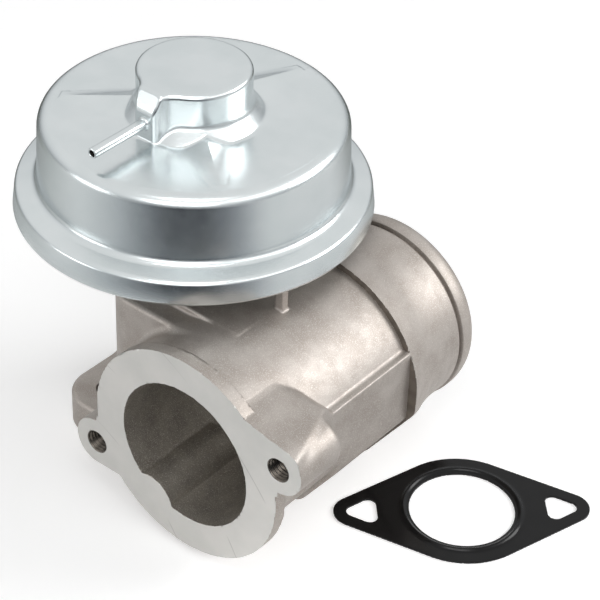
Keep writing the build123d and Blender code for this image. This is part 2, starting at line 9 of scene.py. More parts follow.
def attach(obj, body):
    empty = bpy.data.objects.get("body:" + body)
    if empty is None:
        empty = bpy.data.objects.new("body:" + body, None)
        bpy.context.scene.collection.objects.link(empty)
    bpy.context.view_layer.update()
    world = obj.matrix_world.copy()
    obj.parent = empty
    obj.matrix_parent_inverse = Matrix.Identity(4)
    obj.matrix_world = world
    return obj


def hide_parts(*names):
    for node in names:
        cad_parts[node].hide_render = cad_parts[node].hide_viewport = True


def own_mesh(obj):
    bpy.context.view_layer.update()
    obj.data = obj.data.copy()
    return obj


# Vacuum EGR valve: the looks. Sizes are in millimetres and are written to the meshes in metres.
MM = 0.001
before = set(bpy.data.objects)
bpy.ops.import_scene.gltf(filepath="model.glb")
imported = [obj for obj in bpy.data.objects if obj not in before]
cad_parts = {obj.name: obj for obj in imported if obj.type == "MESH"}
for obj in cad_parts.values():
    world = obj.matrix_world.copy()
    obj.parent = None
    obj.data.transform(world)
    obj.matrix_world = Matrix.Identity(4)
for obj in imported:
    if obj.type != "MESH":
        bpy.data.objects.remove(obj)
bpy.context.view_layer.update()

# Sizes taken over from the solid model, with the radii of rounded edges and cast fillets
# Tube with its flat, its ledge, its slanted underside and the ridge in its bore
TUBE_X, TUBE_Z, FACE_Y = 50.0, 40.0, -61.0
BORE_R, BORE_EDGE, BODY_R, BODY_END = 26.0, 0.3, 36.7, 71.3
FLAT_X, FLAT_EDGE, LEDGE_Z, LEDGE_EDGE, LEDGE_FILLET = 35.1, 1.0, 17.5, 0.7, 0.8
SLANT_ANGLE, SLANT_FRONT, SLANT_REAR, SLANT_STEP = -35.0, 32.6, 34.5, 35.0
SLANT_EDGE, SLANT_STEP_EDGE = 0.8, 0.4
RIDGE_X, RIDGE_Z, RIDGE_R, RIDGE_LENGTH = -14.7, -26.8, 9.2, 34.0
# Collar and spigot
COLLAR_R, COLLAR_END, COLLAR_FLAT, COLLAR_FILLET, COLLAR_EDGE = 38.9, 89.0, 35.4, 1.6, 0.5
SPIGOT_R, SPIGOT_CUT, REAR_BORE_R, REAR_BORE_START = 33.8, 99.0, 29.5, 78.0
GROOVE_START, GROOVE_END, GROOVE_R, BEAD_R, BEAD_END_R, TUBE_END = 102.2, 103.5, 32.7, 34.5, 31.6, 111.0
# Intake flange with its ears, bosses and web
RING_R, RING_THICK, RING_EDGE = 38.0, 5.0, 0.4
EAR_X, EAR_Z, EAR_R, EAR_ANGLE, EAR_INNER = 38.5, 16.4, 9.0, 34.0, 8.0
EAR_HOLE_R, EAR_HOLE_DEPTH, BOSS_LENGTH, BOSS_EDGE, BOSS_FILLET = 4.1, 18.5, 21.0, 3.0, 2.0
WEB_TOP, WEB_LOW, WEB_LENGTH, WEB_LEAN = 29.6, 14.0, 31.0, 0.34
WEB_BACK_EDGE, WEB_SIDE_EDGE, WEB_FILLET = 3.0, 1.0, 0.6
# Valve column, chamber, pad and lug
COLUMN_R, CHAMBER_FRONT, CHAMBER_CORNER, CHAMBER_SIDE = 27.0, 46.5, 13.0, 49.0
CHAMBER_BOTTOM, CHAMBER_TOP, CHAMBER_EDGE, CHAMBER_FILLET = 4.0, 74.3, 1.6, 2.5
PAD_R, PAD_FRONT, PAD_SIDE, PAD_TOP, PAD_SUNK, PAD_EDGE = 34.0, 38.6, 52.4, 76.7, 3.0, 0.4
LEAST_FILLET, PAD_FILLET, PAD_FILLET_Y, PAD_FILLET_FADE = 0.01, 0.8, -30.0, 6.0
LUG_X, LUG_Y, LUG_LOW, LUG_HALF_X, LUG_HALF_Y, LUG_EDGE, LUG_FILLET = 53.6, -18.5, 70.0, 1.4, 1.2, 0.3, 0.6
# Inlet flange with its two holes; its corner as x, y and radius
INLET_HOLE_X, INLET_HOLE_Y, INLET_HOLE_R, INLET_HOLE_TOP = 13.75, 29.4, 4.25, 16.0
LOBE_R, HUB_R, INLET_THICK, INLET_EDGE, INLET_FILLET = 12.7, 26.0, 13.5, 1.3, 3.0
INLET_CORNER = (8.0, -34.0, 8.0)
# Bores round the stem as radius, bottom and top; the window into the duct; the screw holes
VALVE_BORES = ((17, -99, 11), (18, 11, 18.1), (20, 18, 50), (7.05, 49, 69), (10, 68, 299))
WINDOW_Z, WINDOW_HALF_Y, WINDOW_HALF_Z = 36.0, 15.0, 13.0
SCREW_ANGLES, SCREW_CIRCLE, SCREW_R, SCREW_LOW = (90, 210, 330), 20.0, 2.5, 62.7
# Capsule: rolled rim, sloping flange, drum and lid
RIM_R, RIM_BOTTOM, RIM_TOP, CREASE_R, CREASE_Z = 60.2, 84.7, 93.1, 52.0, 95.3
RIM_LEAN, RIM_EDGE, HEM_R, LIP_WIDTH = 5.0, 1.9, 1.4, 5.0
DRUM_R, DRUM_FOOT, LID_Z, LID_SHOULDER, LID_SEAM, SHEET = 51.0, 3.0, 119.3, 4.5, 47.0, 1.5
# Pressed ribs of the lid
RIB_ANGLES, RIB_ROOT, RIB_INNER, RIB_TIP = (-150.0, -38.0, 79.0), 19.0, 6.0, 44.5
RIB_HALF, RIB_TIP_HALF, RIB_HEIGHT, RIB_STEEPNESS, RIB_MARGIN, RIB_FILLET = 8.0, 0.8, 3.2, 0.93, 1.0, 0.7
# Dome with its foot, and its snout with the sloping nose
DOME_R, DOME_TOP, DOME_EDGE, DOME_FILLET = 19.0, 136.2, 1.7, 0.9
FOOT_R, FOOT_HEIGHT, FOOT_OVERLAP, FOOT_FILLET = 23.2, 5.0, 2.0, 0.6
SNOUT_REACH, SNOUT_HALF, SNOUT_EDGE, SNOUT_FILLET = 24.0, 4.6, 1.8, 5.0
NOSE_RUN, NOSE_DROP, NOSE_EDGE = 3.0, 6.0, 0.7
# Vacuum nipple
NIPPLE_R, NIPPLE_BORE, NIPPLE_HOLE_R = 1.75, 1.1, 2.3
NIPPLE_ROOT, NIPPLE_END, NIPPLE_Z = 14.0, 47.6, 125.6
# Gasket: outline, slots, hole and embossed bead
GASKET_X, GASKET_Y, GASKET_ANGLE, GASKET_SHEET, GASKET_EDGE = 108.4, 14.0, 42.8, 0.8, 0.18
GASKET_HUB_R, GASKET_LOBE_X, GASKET_LOBE_R, GASKET_HOLE_R = 25.6, 36.5, 7.0, 17.9
SLOT_TIP, SLOT_BASE, SLOT_HALF, SLOT_R = 36.4, 31.5, 3.0, 2.7
EMBOSS_R, EMBOSS_WIDTH, EMBOSS_HEIGHT = 19.9, 0.85, 0.79
# Width of the mesh cells
CASTING_GRID, DOME_GRID, GASKET_GRID = 0.93, 0.62, 0.42


# Nodes and colours
def add_node(tree, kind, inputs=(), **settings):
    made = tree.nodes.new(kind)
    for key, value in settings.items():
        setattr(made, key, value)
    for key, value in dict(inputs).items():
        if isinstance(value, bpy.types.NodeSocket):
            tree.links.new(value, made.inputs[key])
        else:
            made.inputs[key].default_value = value
    return made


def add_object(name, data):
    made = bpy.data.objects.new(name, data)
    bpy.context.scene.collection.objects.link(made)
    return made


def linear(code):
    parts = [int(code[i:i + 2], 16) / 255 for i in (1, 3, 5)]
    return tuple(c / 12.92 if c <= 0.04045 else ((c + 0.055) / 1.055) ** 2.4 for c in parts) + (1.0,)


def ramp(tree, factor, stops):
    made = add_node(tree, "ShaderNodeValToRGB", {"Fac": factor})
    for _ in stops[2:]:
        made.color_ramp.elements.new(0.5)
    for element, (place, code) in zip(made.color_ramp.elements, stops):
        element.position = place
        element.color = linear(code)
    return made.outputs["Color"]


def grain(tree, spots, size, detail=2.0, roughness=0.5):
    """Noise with blobs of about that size in millimetres."""
    made = add_node(tree, "ShaderNodeTexNoise", {"Vector": spots, "Scale": 1 / (size * MM), "Detail": detail,
                                                 "Roughness": roughness})
    return made.outputs["Fac"]


def metal(name, colours, blotch, metallic, roughness, rough_change, bumps, speck=None):
    """A surface with blotches of colour, uneven gloss and layers of bump, with its grains in millimetres."""
    material = bpy.data.materials.new(name)
    material.use_nodes = True
    tree = material.node_tree
    surface = tree.nodes["Principled BSDF"]
    place = add_node(tree, "ShaderNodeTexCoord").outputs["Object"]
    colour = ramp(tree, grain(tree, place, blotch, 4.0), colours)
    if speck:
        size, code, low, high = speck
        spots = add_node(tree, "ShaderNodeMapRange", {"Value": grain(tree, place, size, 0.0), "From Min": low,
                                                      "From Max": high})
        colour = add_node(tree, "ShaderNodeMix", {"Factor": spots.outputs["Result"], "A": colour,
                                                  "B": linear(code)}, data_type="RGBA")
        colour = colour.outputs["Result"]
    tree.links.new(colour, surface.inputs["Base Color"])
    surface.inputs["Metallic"].default_value = metallic
    gloss = add_node(tree, "ShaderNodeMapRange", {
        "Value": grain(tree, place, blotch / 3, 3.0), "From Min": 0.3, "From Max": 0.7,
        "To Min": roughness - rough_change, "To Max": roughness + rough_change})
    tree.links.new(gloss.outputs["Result"], surface.inputs["Roughness"])
    normal = None
    for size, height in bumps:
        layer = add_node(tree, "ShaderNodeBump", {"Height": grain(tree, place, size, 2.0),
                                                  "Distance": height * MM, "Strength": 1.0})
        if normal:
            tree.links.new(normal, layer.inputs["Normal"])
        normal = layer.outputs["Normal"]
    if normal:
        tree.links.new(normal, surface.inputs["Normal"])
    return material


# Die-cast aluminium, bead-blasted: warm grey, matt, with a fine sandy grain that glints
casting = metal("die_cast_aluminium_blasted", ((0.35, "#a29a93"), (0.65, "#b0a9a3")), 9.0, 0.8, 0.5, 0.04,
                ((1.2, 0.04), (0.35, 0.05)), (0.3, "#c6c0ba", 0.54, 0.85))
# The same alloy inside the duct, painted darker as shade inside the bores
duct = metal("die_cast_aluminium_duct_painted_shade", ((0.35, "#98928a"), (0.65, "#aca69d")), 7.0, 0.75, 0.44, 0.06,
             ((1.3, 0.05), (0.35, 0.04)), (0.3, "#dcd8d0", 0.56, 0.8))
# Painted shade: a darker casting colour on the step where the tube steps up to its collar, standing in for
# the shadow there
step_painted_shade = metal("die_cast_aluminium_step_painted_shade", ((0.35, "#665e56"), (0.65, "#7a7168")), 5.0, 0.5, 0.6, 0.04,
                  ((0.6, 0.03),))
# Face-milled aluminium: pale and even, with faint marks
milled = metal("face_milled_aluminium", ((0.35, "#d0cfcb"), (0.65, "#d8d6d2")), 14.0, 0.85, 0.38, 0.03,
               ((0.6, 0.006),))
# Thin arcs that the face cutter left, worn away here and there
CUTTER_CENTRE, CUTTER_STEP, CUTTER_LINE = (-20.0, FACE_Y, -38.0), 13.0, 0.3
CUTTER_DEPTH, CUTTER_WORN = 0.4, 22.0
tree = milled.node_tree
surface = tree.nodes["Principled BSDF"]
plain = surface.inputs["Base Color"].links[0].from_socket
place = add_node(tree, "ShaderNodeTexCoord").outputs["Object"]
swing = add_node(tree, "ShaderNodeVectorMath", {0: place, 1: [v * MM for v in CUTTER_CENTRE]},
                 operation="DISTANCE")
swing = add_node(tree, "ShaderNodeMath", {0: swing.outputs["Value"], 1: CUTTER_STEP * MM},
                 operation="PINGPONG")
line = add_node(tree, "ShaderNodeMapRange", {"Value": swing.outputs[0], "From Max": CUTTER_LINE * MM,
                                             "To Min": CUTTER_DEPTH, "To Max": 0.0})
worn = add_node(tree, "ShaderNodeMapRange", {"Value": grain(tree, place, CUTTER_WORN, 1.0),
                                             "From Min": 0.46, "From Max": 0.56})
marks = add_node(tree, "ShaderNodeMath", {0: line.outputs[0], 1: worn.outputs[0]}, operation="MULTIPLY")
marked = add_node(tree, "ShaderNodeMix", {"Factor": marks.outputs[0], "A": plain, "B": linear("#6f6c68")},
                  data_type="RGBA")
tree.links.new(marked.outputs["Result"], surface.inputs["Base Color"])
# Bright zinc plate with a clear passivation: slightly blue, fine satin gloss
zinc = metal("zinc_plated_steel_clear", ((0.35, "#cdd3d4"), (0.65, "#d3d8d9")), 16.0, 1.0, 0.25, 0.02,
             ((0.4, 0.011),))
# Cut thread in aluminium: glossy, and painted dark as shade inside the tapped holes
thread = metal("cut_aluminium_thread_painted_shade", ((0.35, "#57524c"), (0.65, "#6c665f")), 2.0, 1.0, 0.22, 0.05, ())
# Steel inside the drawn tube's bore: dull, and painted nearly black as shade inside the narrow bore
nipple_bore_shade = metal("drawn_tube_bore_painted_shade", ((0.35, "#1c1a18"), (0.65, "#2a2725")), 2.0, 0.6, 0.6, 0.05, ())
# Plain turned steel
steel = metal("turned_steel", ((0.35, "#9a9a9c"), (0.65, "#a8a8aa")), 6.0, 1.0, 0.3, 0.05, ((0.3, 0.004),))
# Heat-resistant steel that hot gas has tinted brown
hot_steel = metal("heat_tinted_steel", ((0.35, "#6e625a"), (0.65, "#857464")), 5.0, 1.0, 0.38, 0.08,
                  ((0.6, 0.01),))
# Sintered bronze with open pores
bronze = metal("sintered_bronze", ((0.35, "#9b7a45"), (0.65, "#b08b50")), 3.0, 1.0, 0.45, 0.05,
               ((0.4, 0.03),))
# Nitrile rubber, moulded over fabric: matt black with a faint weave-like grain
rubber = metal("moulded_nitrile_rubber", ((0.35, "#131313"), (0.65, "#1d1d1d")), 4.0, 0.0, 0.62, 0.06,
               ((0.5, 0.02),))
# Fluorine rubber of the stem seal: brown and matt
seal_rubber = metal("brown_fluorine_rubber", ((0.35, "#3b241a"), (0.65, "#4a2d20")), 3.0, 0.0, 0.55, 0.05,
                    ((0.5, 0.01),))
# Pressed fibre sheet
fibre = metal("pressed_fibre_sheet", ((0.35, "#70706a"), (0.65, "#85857e")), 2.0, 0.0, 0.8, 0.05,
              ((0.5, 0.03),))
# Thin black elastomer coat on sheet steel: dim gloss, with a fine grain
COAT_GLOSS = 0.22
coated = metal("rubber_coated_sheet_steel", ((0.35, "#080809"), (0.65, "#0e0e0f")), 6.0, 0.0, 0.2, 0.03,
               ((0.35, 0.008),))
coated.node_tree.nodes["Principled BSDF"].inputs["Specular IOR Level"].default_value = COAT_GLOSS


# Distances to simple forms: negative inside
def flat_box(a, b, half_a, half_b):
    """Distance to a rectangle given by half its width and half its height."""
    over_a, over_b = np.abs(a) - half_a, np.abs(b) - half_b
    outside = np.hypot(np.maximum(over_a, 0), np.maximum(over_b, 0))
    return outside + np.minimum(np.maximum(over_a, over_b), 0)


def between(value, low, high):
    """How far a value lies outside a range."""
    return np.maximum(low - value, value - high)


def join(a, b, r):
    """Both forms together, with a cast fillet of radius r where they meet."""
    return np.maximum(r, np.minimum(a, b)) - np.hypot(np.maximum(r - a, 0), np.maximum(r - b, 0))


def trim(a, b, r):
    """What both forms share, with the edge rounded to radius r."""
    return np.minimum(-r, np.maximum(a, b)) + np.hypot(np.maximum(r + a, 0), np.maximum(r + b, 0))


def outline(a, b, corners):
    """Distance to a flat shape given by its corners."""
    nearest = np.full(a.shape, 1e9)
    inside = np.zeros(a.shape, bool)
    for (ax, ay), (bx, by) in zip(corners, corners[1:] + corners[:1]):
        ex, ey = bx - ax, by - ay
        share = np.clip(((a - ax) * ex + (b - ay) * ey) / (ex * ex + ey * ey), 0, 1)
        nearest = np.minimum(nearest, (a - ax - ex * share) ** 2 + (b - ay - ey * share) ** 2)
        if ey:
            inside ^= ((ay > b) != (by > b)) & (a < ax + (b - ay) * ex / ey)
    return np.where(inside, -1, 1) * np.sqrt(nearest)


def hull(a, b, first, second):
    """Distance to the outline of two circles and their outer tangents."""
    (ax, ay, ra), (bx, by, rb) = first, second
    length = np.hypot(bx - ax, by - ay)
    ex, ey = (bx - ax) / length, (by - ay) / length
    across = np.abs((a - ax) * -ey + (b - ay) * ex)
    along = (a - ax) * ex + (b - ay) * ey
    tilt = (ra - rb) / length
    lean = sqrt(1 - tilt * tilt)
    reach = along * lean - across * tilt
    side = across * lean + along * tilt - ra
    return np.where(reach < 0, np.hypot(across, along) - ra,
                    np.where(reach > length * lean, np.hypot(across, along - length) - rb, side))


# A mesh of the surface where a form's distance is zero, with its sharp edges kept
TETRAHEDRON = np.array(((1, -1, -1), (-1, -1, 1), (-1, 1, -1), (1, 1, 1)), float)
NUDGE = 0.004
# How strongly a corner is held to the middle of its cell's crossings, and how far it may leave the cell
HOLD, REACH = 0.012, 0.55
# Shading is split where two faces at a corner differ by more than this angle, in degrees
SHARP_TURN, SHARP_ANGLE = 18, 38
# Share of each face's corner in the spot where its shading is measured
CORNER_SHARE = 0.7


def outward(form, points):
    """The direction in which the distance grows fastest."""
    total = np.zeros_like(points)
    for corner in TETRAHEDRON:
        total += corner * form(points + corner * NUDGE)[:, None]
    return total / np.maximum(np.linalg.norm(total, axis=1, keepdims=True), 1e-12)


def form_mesh(name, form, low, high, step):
    """The object, the middle of each face and the way that it faces."""
    low = np.array(low, float)
    count = np.ceil((np.array(high, float) - low) / step).astype(int) + 1
    field = np.empty(tuple(count))
    rows = [low[i] + step * np.arange(count[i]) for i in range(3)]
    for start in range(0, count[0], 8):
        block = np.stack(np.meshgrid(rows[0][start:start + 8], rows[1], rows[2], indexing="ij"), -1)
        field[start:start + 8] = form(block.reshape(-1, 3)).reshape(block.shape[:3])
    inside = field < 0
    spots, tops, firsts, turned = [], [], [], []
    for axis in range(3):
        near, far = [slice(None)] * 3, [slice(None)] * 3
        near[axis], far[axis] = slice(None, -1), slice(1, None)
        crossing = inside[tuple(near)] != inside[tuple(far)]
        cell = np.argwhere(crossing)
        a, b = field[tuple(near)][crossing], field[tuple(far)][crossing]
        spot = low + step * cell
        spot[:, axis] += step * a / (a - b)
        spots.append(spot)
        one, two = np.eye(3, dtype=int)[(axis + 1) % 3], np.eye(3, dtype=int)[(axis + 2) % 3]
        tops.append(np.stack([cell - one - two, cell - two, cell, cell - one], 1))
        turned.append(a > 0)
    spots, cells, turned = np.concatenate(spots), np.concatenate(tops), np.concatenate(turned)
    owners = np.ravel_multi_index(cells.reshape(-1, 3).T, tuple(count))
    ids, owner = np.unique(owners, return_inverse=True)
    edge = np.repeat(np.arange(len(spots)), 4)

    def gather(values):
        return np.bincount(owner, weights=values[edge], minlength=len(ids))

    normals = outward(form, spots)
    share = gather(np.ones(len(spots)))
    middle = np.stack([gather(spots[:, i]) for i in range(3)], 1) / share[:, None]
    reach = (normals * spots).sum(1)
    matrix = np.empty((len(ids), 3, 3))
    for i in range(3):
        for j in range(3):
            matrix[:, i, j] = gather(normals[:, i] * normals[:, j])
    pull = np.stack([gather(normals[:, i] * reach) for i in range(3)], 1)
    pull -= np.einsum("nij,nj->ni", matrix, middle)
    matrix += np.eye(3) * (HOLD * share)[:, None, None]
    shift = np.linalg.solve(matrix, pull[:, :, None])[:, :, 0]
    cell = low + step * (np.stack(np.unravel_index(ids, tuple(count)), 1) + 0.5)
    corners = cell + np.clip(middle + shift - cell, -REACH * step, REACH * step)
    quads = owner.reshape(-1, 4)
    quads[turned] = quads[turned][:, ::-1]
    centre = corners[quads].mean(1, keepdims=True)
    tested = corners[quads] * CORNER_SHARE + centre * (1 - CORNER_SHARE)
    turn = outward(form, tested.reshape(-1, 3))
    smooth = np.zeros((len(corners), 3))
    for i in range(3):
        smooth[:, i] = np.bincount(quads.ravel(), weights=turn[:, i], minlength=len(corners))
    smooth /= np.maximum(np.linalg.norm(smooth, axis=1, keepdims=True), 1e-12)
    shared = smooth[quads.ravel()]
    alike = (turn * shared).sum(1)
    gentle = np.ones(len(corners))
    np.minimum.at(gentle, quads.ravel(), alike)
    turn = np.where((gentle[quads.ravel()] > cos(radians(SHARP_TURN)))[:, None], shared, turn)
    mesh = bpy.data.meshes.new(name)
    mesh.vertices.add(len(corners))
    mesh.vertices.foreach_set("co", (corners * MM).ravel())
    mesh.loops.add(quads.size)
    mesh.loops.foreach_set("vertex_index", quads.ravel().astype(np.int32))
    mesh.polygons.add(len(quads))
    mesh.polygons.foreach_set("loop_start", np.arange(0, quads.size, 4, dtype=np.int32))
    mesh.update(calc_edges=True)
    mesh.polygons.foreach_set("use_smooth", np.ones(len(quads), bool))
    mesh.normals_split_custom_set(turn.tolist())
    return add_object(name, mesh), centre[:, 0], outward(form, centre[:, 0])


def paint(piece, materials, choice=None):
    piece.data.materials.clear()
    for material in materials:
        piece.data.materials.append(material)
    if choice is not None:
        piece.data.polygons.foreach_set("material_index", choice.astype(np.int32))


def face_centres(piece):
    """Middle of each face, in millimetres."""
    centres = np.empty(len(piece.data.polygons) * 3)
    piece.data.polygons.foreach_get("center", centres)
    return centres.reshape(-1, 3) / MM


def skin_rings(shape, rings):
    """Faces from ring to ring, and from the last back to the first."""
    for one, two in zip(rings, rings[1:] + rings[:1]):
        for step in range(len(one)):
            after = (step + 1) % len(one)
            shape.faces.new((one[step], one[after], two[after], two[step]))


def finished_mesh(name, shape, sharp_angle):
    """The mesh of a closed shape, faces outwards, smooth apart from its sharp edges."""
    bmesh.ops.recalc_face_normals(shape, faces=shape.faces)
    mesh = bpy.data.meshes.new(name)
    shape.to_mesh(mesh)
    shape.free()
    mesh.polygons.foreach_set("use_smooth", np.ones(len(mesh.polygons), bool))
    mesh.set_sharp_from_angle(angle=radians(sharp_angle))
    return mesh


def lathe(name, profile, around, place):
    """A closed ring turned from (radius, distance) pairs; place puts them and the angle into the frame."""
    shape = bmesh.new()
    rings = [[shape.verts.new(place(r * cos(2 * pi * s / around), r * sin(2 * pi * s / around), d))
              for s in range(around)] for r, d in profile]
    skin_rings(shape, rings)
    return add_object(name, finished_mesh(name, shape, SHARP_ANGLE))


# Casting from the flange to the plain part of the spigot
def slanted(u, w):
    """How far out a spot lies in the direction that the underside of the tube faces."""
    return u * cos(radians(SLANT_ANGLE)) + w * sin(radians(SLANT_ANGLE))


def ear_shape(u, w):
    """Both ears, turned so that they fall on one."""
    half = np.sign(u * EAR_X + w * EAR_Z)
    p, q = u * half, w * half
    slope_x, slope_z = cos(radians(EAR_ANGLE)), sin(radians(EAR_ANGLE))
    tangent = (p - EAR_X) * slope_z - (q - EAR_Z) * slope_x - EAR_R
    arm = np.maximum(np.maximum(tangent, q - EAR_Z - EAR_R), p - EAR_X)
    arm = np.maximum(arm, EAR_INNER - p)
    return np.minimum(np.hypot(p - EAR_X, q - EAR_Z) - EAR_R, arm)


def tube_shape(u, w, t):
    """Tube with its flat, the ledge and the slanted underside."""
    drum = trim(np.hypot(u, w) - BODY_R, u - FLAT_X, FLAT_EDGE)
    low = -sqrt(BODY_R**2 - FLAT_X**2)
    corner = flat_box(u - FLAT_X / 2, w - (LEDGE_Z + low) / 2, FLAT_X / 2 - LEDGE_EDGE,
                      (LEDGE_Z - low) / 2 - LEDGE_EDGE) - LEDGE_EDGE
    tube = join(drum, corner, LEDGE_FILLET)
    tube = trim(tube, slanted(u, w) - SLANT_REAR, SLANT_EDGE)
    tube = trim(tube, np.minimum(slanted(u, w) - SLANT_FRONT, SLANT_STEP - t), SLANT_STEP_EDGE)
    return np.maximum(tube, between(t, 0, BODY_END))


def web_shape(u, w, t):
    """Web over the right ear, running out into the ledge."""
    fall = (WEB_TOP - LEDGE_Z) / (WEB_LENGTH - BOSS_LENGTH)
    back = (w - WEB_TOP + (t - BOSS_LENGTH) * fall) / sqrt(1 + fall * fall)
    web_x = sqrt(BODY_R**2 - WEB_TOP**2)
    rise, run = WEB_TOP - EAR_Z - EAR_R, EAR_X - web_x
    side = ((u - web_x) * rise + (w - WEB_TOP) * run) / sqrt(rise * rise + run * run)
    inward = (u - EAR_X + (t - BOSS_LENGTH) * WEB_LEAN) / sqrt(1 + WEB_LEAN**2)
    web = trim(np.maximum(w - WEB_TOP, side), back, WEB_BACK_EDGE)
    web = trim(web, inward, WEB_SIDE_EDGE)
    return np.maximum(web, np.maximum(-u, WEB_LOW - w))


def rear_shape(u, w, t):
    """Tapered collar with its flat, and the spigot."""
    radial = np.hypot(u, w)
    taper = (COLLAR_R - SPIGOT_R) / (COLLAR_END - BODY_END)
    cone = (radial - COLLAR_R + (t - BODY_END) * taper) / sqrt(1 + taper * taper)
    rear = np.maximum(join(radial - SPIGOT_R, cone, COLLAR_FILLET), BODY_END - t)
    return trim(rear, slanted(u, w) - COLLAR_FLAT, COLLAR_EDGE)


def chamber_shape(x, y, z):
    """Valve column and the chamber in front of it."""
    corner = (CHAMBER_CORNER, CHAMBER_CORNER - CHAMBER_FRONT, CHAMBER_CORNER)
    block = flat_box(x - (CHAMBER_CORNER + CHAMBER_SIDE) / 2, y + (CHAMBER_FRONT - COLUMN_R) / 2,
                     (CHAMBER_SIDE - CHAMBER_CORNER) / 2, (CHAMBER_FRONT + COLUMN_R) / 2)
    chamber = np.minimum(hull(x, y, (0, 0, COLUMN_R), corner), block)
    return trim(chamber, between(z, CHAMBER_BOTTOM, CHAMBER_TOP), CHAMBER_EDGE)


def pad_shape(x, y, z):
    """Pad that the capsule is screwed to."""
    pad = np.minimum(np.hypot(x, y) - PAD_R,
                     flat_box(x - PAD_SIDE / 2, y + PAD_FRONT / 2, PAD_SIDE / 2, PAD_FRONT / 2))
    return trim(pad, between(z, CHAMBER_TOP - PAD_SUNK, PAD_TOP), PAD_EDGE)


def inlet_shape(x, y, z):
    """Inlet flange: hub, two lobes and a rounded corner."""
    hub = (0, 0, HUB_R)
    lobe, far_lobe = (-INLET_HOLE_X, -INLET_HOLE_Y, LOBE_R), (INLET_HOLE_X, INLET_HOLE_Y, LOBE_R)
    inlet = np.minimum(hull(x, y, hub, lobe), hull(x, y, hub, far_lobe))
    inlet = np.minimum(inlet, hull(x, y, hub, INLET_CORNER))
    inlet = np.minimum(inlet, hull(x, y, lobe, INLET_CORNER))
    return trim(inlet, between(z, 0, INLET_THICK), INLET_EDGE)


def casting_skin(points):
    """Outside of the casting, with its cast fillets."""
    x, y, z = points.T
    u, w, t = x - TUBE_X, z - TUBE_Z, y - FACE_Y
    ear = ear_shape(u, w)
    boss = trim(ear, t - BOSS_LENGTH, BOSS_EDGE)
    ring = np.minimum(np.hypot(u, w) - RING_R, ear)
    ring = np.maximum(trim(ring, t - RING_THICK, RING_EDGE), -t)
    lug = flat_box(x - LUG_X, y - LUG_Y, LUG_HALF_X, LUG_HALF_Y) - LUG_EDGE
    lug = np.maximum(lug, between(z, LUG_LOW, RIM_BOTTOM))
    # The fillet of the pad fades out behind its front edge
    pad_fillet = LEAST_FILLET + PAD_FILLET * np.clip((PAD_FILLET_Y - y) / PAD_FILLET_FADE, 0, 1)
    whole = join(tube_shape(u, w, t), chamber_shape(x, y, z), CHAMBER_FILLET)
    whole = join(whole, inlet_shape(x, y, z), INLET_FILLET)
    whole = join(whole, web_shape(u, w, t), WEB_FILLET)
    whole = join(whole, boss, BOSS_FILLET)
    whole = join(whole, pad_shape(x, y, z), pad_fillet)
    whole = join(whole, lug, LUG_FILLET)
    whole = np.minimum(np.minimum(whole, rear_shape(u, w, t)), ring)
    return np.maximum(whole, between(t, 0, SPIGOT_CUT))


def casting_form(points):
    """The casting with its bores, its window and its holes cut out."""
    x, y, z = points.T
    u, w, t = x - TUBE_X, z - TUBE_Z, y - FACE_Y
    radial, stem = np.hypot(u, w), np.hypot(x, y)
    ridge = np.maximum(np.hypot(u - RIDGE_X, w - RIDGE_Z) - RIDGE_R, t - RIDGE_LENGTH)
    cut = trim(radial - BORE_R, -ridge, BORE_EDGE)
    cut = np.minimum(cut, np.maximum(radial - REAR_BORE_R, REAR_BORE_START - t))
    for r, bottom, top in VALVE_BORES:
        cut = np.minimum(cut, np.maximum(stem - r, between(z, bottom, top)))
    cut = np.minimum(cut, np.maximum(flat_box(y, z - WINDOW_Z, WINDOW_HALF_Y, WINDOW_HALF_Z),
                                     between(x, 0, TUBE_X - BORE_R / 2)))
    for sign in (-1, 1):
        inlet_hole = np.hypot(x - sign * INLET_HOLE_X, y - sign * INLET_HOLE_Y) - INLET_HOLE_R
        ear_hole = np.hypot(u - sign * EAR_X, w - sign * EAR_Z) - EAR_HOLE_R
        cut = np.minimum(cut, np.maximum(inlet_hole, z - INLET_HOLE_TOP))
        cut = np.minimum(cut, np.maximum(ear_hole, t - EAR_HOLE_DEPTH))
    for turn in SCREW_ANGLES:
        hole = np.hypot(x - SCREW_CIRCLE * cos(radians(turn)), y - SCREW_CIRCLE * sin(radians(turn)))
        cut = np.minimum(cut, np.maximum(hole - SCREW_R, SCREW_LOW - z))
    return np.maximum(casting_skin(points), -cut)


# Faces near a wall of the duct or the valve chamber take the darker duct colour as painted shade, the milled
# face takes a finish of its own, and the step takes a darker colour as painted shade
NEAR_WALL, NEAR_FACE, NEAR_STEP, INLET_RIM = 0.4, 0.2, 0.9, 0.5
MILLED_TURN, STEP_TURN = -0.7, -0.6
DUCT_SHADE, MILLED, STEP = 1, 2, 3
body, spots, facing = form_mesh("casting_body", casting_form, (-37, -62.3, -2), (100, 41, 88), CASTING_GRID)
x, y, z = spots.T
chamber_r, _, chamber_top = VALVE_BORES[2]
# Painted shade: the walls of the duct and the valve chamber take the darker duct colour
wall = np.hypot(x - TUBE_X, z - TUBE_Z) < REAR_BORE_R + NEAR_WALL
wall |= (np.hypot(x, y) < chamber_r + NEAR_WALL) & (z > INLET_RIM) & (z < chamber_top + NEAR_WALL)
choice = np.where(wall, DUCT_SHADE, 0)
choice[(y < FACE_Y + NEAR_FACE) & (facing[:, 1] < MILLED_TURN)] = MILLED
# Painted shade on the step where the tube meets its collar
choice[(np.abs(y - FACE_Y - BODY_END) < NEAR_STEP) & (facing[:, 1] < STEP_TURN) & ~wall] = STEP
paint(body, (casting, duct, milled, step_painted_shade), choice)


# Grooved end of the spigot with its rounded bead
END_ROUND, END_STEPS, MOUTH_BREAK = 2.2, 8, 0.6
